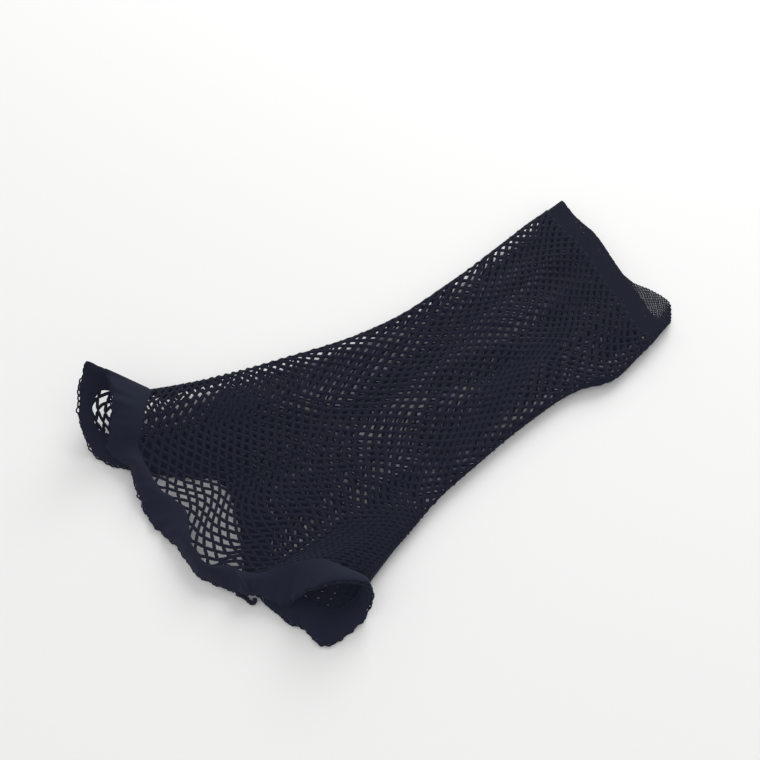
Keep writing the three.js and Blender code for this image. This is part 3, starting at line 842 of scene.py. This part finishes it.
class WIGCAP_OT_edge_loops(bpy.types.Operator):
    """Works a row of small yarn loops along the free edge of the mouth"""
    bl_idname = "wigcap.edge_loops"
    bl_label = "Edge loops"

    def execute(self, context):
        sizes = context.scene.cap_sizes
        material = cap_material(context, "edge_finish", sheen=0.03, relief=cord_relief, depth_mm=0.06)
        steps, loops = LOOP_STEPS, sizes.picots
        rng = np.random.default_rng(LOOP_SEED)
        t = np.arange(loops * steps + 1) / steps
        place = np.arange(loops + 1) / loops
        loose = sum(np.exp(-((place - at) / LOOSE_RUN) ** 2) for at in LOOSE_LOOPS)
        size = rng.uniform(*LOOP_SIZES, loops + 1) + rng.uniform(*LOOSE_SIZES, loops + 1) * loose
        size = np.repeat(size, steps)[:loops * steps + 1]
        phase = 2 * math.pi * t
        fine = np.linspace(0, 1, 2 * FINE - 1)
        length = run_length(skin(fine, -MOUTH_BAND + 0.4))
        pitch = length[-1] / loops
        along_edge = t * pitch - LOOP_NECK_SHARE * pitch * np.sin(phase)
        u = np.interp(np.mod(along_edge, length[-1]), length, fine)
        out = size * (1 - np.cos(phase)) / 2
        _, along, normal = skin_slopes(u, np.full_like(u, -MOUTH_BAND))
        centre = skin(u, -MOUTH_BAND - free_edge(u) + LOOP_ROOT) - normal * (MOUTH_WALL / 2)
        twist = LOOP_TWIST * np.sin(2 * phase + 3 * t)
        centre = centre - along * out[:, None] + normal * twist[:, None]
        centre[:, 2] = np.maximum(centre[:, 2], LOOP_YARN_RADIUS)
        points = rings(centre[None], normal[None], np.full((1, len(t)), LOOP_YARN_RADIUS), 6)
        made = tube_mesh(points + SHIFT, pitch / steps)
        piece = make_piece("mouth_edge_loops", *made, material, [], "mouth_knit")
        piece.parent = bpy.data.objects["mouth_band_cloth"]
        return {"FINISHED"}


class WIGCAP_OT_end_band(bpy.types.Operator):
    """Knits the fine close net of the band at the small end"""
    bl_idname = "wigcap.end_band"
    bl_label = "End band"

    def execute(self, context):
        sizes = context.scene.cap_sizes
        material = cap_material(context, "end_finish", sheen=0.02, relief=cord_relief, depth_mm=0.05)
        columns = 2 * sizes.fine_diamonds
        rows = np.linspace(NET_LENGTH + 0.3, NET_LENGTH + END_BAND - 0.4, sizes.fine_rows + 1)
        made = net_cords(columns, 0, columns, rows, sizes.fine_strand / MM, end_fill, end_swing,
                         sides=4, steps=3, wall=END_WALL, pinch=END_PINCH, seed=END_SEED)
        piece = make_piece("end_band_cloth", *made, material, ["end_band"], "end_knit")
        return {"FINISHED"}


class WIGCAP_OT_thread_tail(bpy.types.Operator):
    """Twists the short end of yarn that hangs from the mouth band"""
    bl_idname = "wigcap.thread_tail"
    bl_label = "Yarn end"

    def execute(self, context):
        material = cap_material(context, "tail_finish", sheen=0.03, relief=cord_relief, depth_mm=0.06)
        u = np.array([TAIL_AT_SHARE])
        edge = skin(u, np.array([-MOUTH_BAND]))[0]
        _, along, normal = (s[0] for s in skin_slopes(u, np.array([-MOUTH_BAND])))
        start = edge - normal * MOUTH_WALL / 2 + along * 0.8
        base = np.array([edge[0], edge[1], TAIL_THICKNESS / 2])
        route = np.vstack([start, start - along * 1.6, base + np.array(TAIL_CURL) * TAIL_LENGTH])
        key = np.arange(len(route))
        t = np.linspace(0, len(route) - 1, 90)
        line = read_table(np.column_stack([key, route]), t, False)
        ahead = unit(np.gradient(line, axis=0))
        side = unit(np.cross([0, 0, 1.0], ahead))
        over = np.cross(ahead, side)
        turn = 2 * math.pi * ((t / PLY_TURN)[None] + np.arange(PLIES)[:, None] / PLIES)
        away = PLY_AWAY * (np.cos(turn)[..., None] * side + np.sin(turn)[..., None] * over)
        centre = line[None] + away
        centre[..., 2] = np.maximum(centre[..., 2], PLY_RADIUS)
        radius = np.full(turn.shape, PLY_RADIUS)
        made = tube_mesh(rings(centre, np.broadcast_to(side, centre.shape), radius, 8) + SHIFT, 0.15)
        make_piece("thread_tail_yarn", *made, material, ["thread_tail"], "tail_yarn")
        return {"FINISHED"}


class WIGCAP_PT_panel(bpy.types.Panel):
    """The cap's pieces and sizes, in the sidebar"""
    bl_idname = "WIGCAP_PT_panel"
    bl_label = "Wig cap"
    bl_space_type = "VIEW_3D"
    bl_region_type = "UI"
    bl_category = "Wig cap"

    def draw(self, context):
        for group in (context.scene.cap_sizes, context.scene.cap_finish):
            box = self.layout.box()
            for key in group.__annotations__:
                box.prop(group, key)
        for operator in OPERATORS:
            self.layout.operator(operator.bl_idname)


OPERATORS = [WIGCAP_OT_stage, WIGCAP_OT_net, WIGCAP_OT_mouth_band, WIGCAP_OT_edge_loops,
             WIGCAP_OT_end_band, WIGCAP_OT_thread_tail]
CLASSES = [CapSizes, CapFinish, *OPERATORS, WIGCAP_PT_panel]


def register():
    for cls in CLASSES:
        bpy.utils.register_class(cls)
    bpy.types.Scene.cap_sizes = bpy.props.PointerProperty(type=CapSizes)
    bpy.types.Scene.cap_finish = bpy.props.PointerProperty(type=CapFinish)


def unregister():
    del bpy.types.Scene.cap_finish
    del bpy.types.Scene.cap_sizes
    for cls in reversed(CLASSES):
        bpy.utils.unregister_class(cls)


def main():
    """Makes the stage and every piece."""
    register()
    bpy.ops.wigcap.stage()
    bpy.ops.wigcap.net()
    bpy.ops.wigcap.mouth_band()
    bpy.ops.wigcap.edge_loops()
    bpy.ops.wigcap.end_band()
    bpy.ops.wigcap.thread_tail()


if __name__ == "__main__":
    main()
